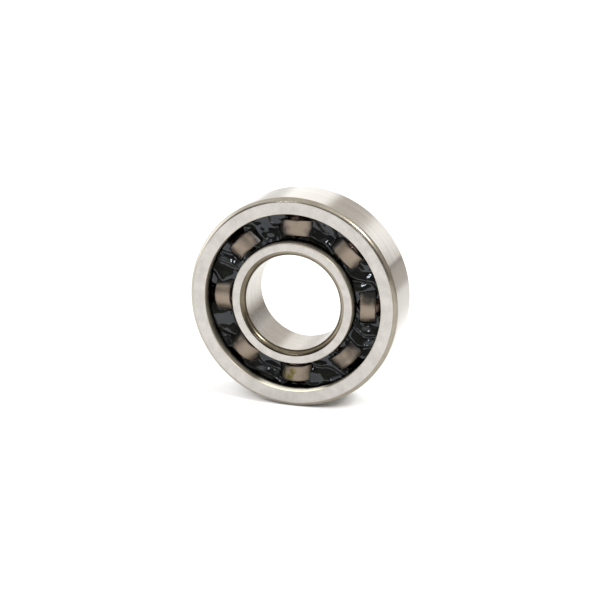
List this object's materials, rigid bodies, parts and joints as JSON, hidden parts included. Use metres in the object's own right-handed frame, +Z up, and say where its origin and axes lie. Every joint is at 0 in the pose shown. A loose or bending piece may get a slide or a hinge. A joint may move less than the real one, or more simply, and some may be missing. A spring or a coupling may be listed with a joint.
{
  "type": "ball bearing",
  "caption": "Open deep-groove ball bearing: outer and inner ring, balls in a two-piece riveted sheet-steel cage, and grease; carries a turning shaft.",
  "frame": {"origin": "centre of the bore at mid width", "axes": "+Y along the bearing's axis, from the front face to the rear face; +Z up, away from the surface that the rim stands on; +X to the right as seen from the front"},
  "size_m": [0.022, 0.006, 0.022],
  "materials": {
    "ring_steel": "ground and honed bearing steel, satin side faces",
    "ball_steel": "polished bearing steel with a film of grease",
    "cage_steel": "pressed sheet steel, satin, oily",
    "rivet_steel": "set rivet heads, oily",
    "grease": "wet black grease"
  },
  "bodies": {
    "outer_ring": {"outer_ring": "ring_steel"},
    "inner_ring": {"inner_ring": "ring_steel"},
    "cage": {"cage_front": "cage_steel", "cage_rear": "cage_steel", "rivet_1": "rivet_steel", "rivet_2": "rivet_steel", "rivet_3": "rivet_steel", "rivet_4": "rivet_steel", "rivet_5": "rivet_steel", "rivet_6": "rivet_steel", "rivet_7": "rivet_steel", "rivet_8": "rivet_steel", "grease_1": "grease", "grease_2": "grease", "grease_3": "grease", "grease_4": "grease", "grease_5": "grease", "grease_6": "grease", "grease_7": "grease", "grease_8": "grease"},
    "ball_1": {"ball_1": "ball_steel"},
    "ball_2": {"ball_2": "ball_steel"},
    "ball_3": {"ball_3": "ball_steel"},
    "ball_4": {"ball_4": "ball_steel"},
    "ball_5": {"ball_5": "ball_steel"},
    "ball_6": {"ball_6": "ball_steel"},
    "ball_7": {"ball_7": "ball_steel"},
    "ball_8": {"ball_8": "ball_steel"}
  },
  "joints": [
    {"name": "inner_ring_spin", "type": "hinge", "parent": "outer_ring", "child": "inner_ring", "pos_m": [0, 0, 0], "axis": [0, 1, 0], "continuous": true},
    {"name": "cage_orbit", "type": "hinge", "parent": "outer_ring", "child": "cage", "pos_m": [0, 0, 0], "axis": [0, 1, 0], "continuous": true},
    {"name": "ball_1_spin", "type": "hinge", "parent": "cage", "child": "ball_1", "pos_m": [0, 0, 0.00775], "axis": [0, 1, 0], "continuous": true},
    {"name": "ball_2_spin", "type": "hinge", "parent": "cage", "child": "ball_2", "pos_m": [0.00548, 0, 0.00548], "axis": [0, 1, 0], "continuous": true},
    {"name": "ball_3_spin", "type": "hinge", "parent": "cage", "child": "ball_3", "pos_m": [0.00775, 0, 0], "axis": [0, 1, 0], "continuous": true},
    {"name": "ball_4_spin", "type": "hinge", "parent": "cage", "child": "ball_4", "pos_m": [0.00548, 0, -0.00548], "axis": [0, 1, 0], "continuous": true},
    {"name": "ball_5_spin", "type": "hinge", "parent": "cage", "child": "ball_5", "pos_m": [0, 0, -0.00775], "axis": [0, 1, 0], "continuous": true},
    {"name": "ball_6_spin", "type": "hinge", "parent": "cage", "child": "ball_6", "pos_m": [-0.00548, 0, -0.00548], "axis": [0, 1, 0], "continuous": true},
    {"name": "ball_7_spin", "type": "hinge", "parent": "cage", "child": "ball_7", "pos_m": [-0.00775, 0, 0], "axis": [0, 1, 0], "continuous": true},
    {"name": "ball_8_spin", "type": "hinge", "parent": "cage", "child": "ball_8", "pos_m": [-0.00548, 0, 0.00548], "axis": [0, 1, 0], "continuous": true}
  ],
  "couplings": [
    {"joint": "cage_orbit", "follows": "inner_ring_spin", "ratio": 0.3871},
    {"joint": "ball_1_spin", "follows": "inner_ring_spin", "ratio": -2.1014},
    {"joint": "ball_2_spin", "follows": "inner_ring_spin", "ratio": -2.1014},
    {"joint": "ball_3_spin", "follows": "inner_ring_spin", "ratio": -2.1014},
    {"joint": "ball_4_spin", "follows": "inner_ring_spin", "ratio": -2.1014},
    {"joint": "ball_5_spin", "follows": "inner_ring_spin", "ratio": -2.1014},
    {"joint": "ball_6_spin", "follows": "inner_ring_spin", "ratio": -2.1014},
    {"joint": "ball_7_spin", "follows": "inner_ring_spin", "ratio": -2.1014},
    {"joint": "ball_8_spin", "follows": "inner_ring_spin", "ratio": -2.1014}
  ]
}
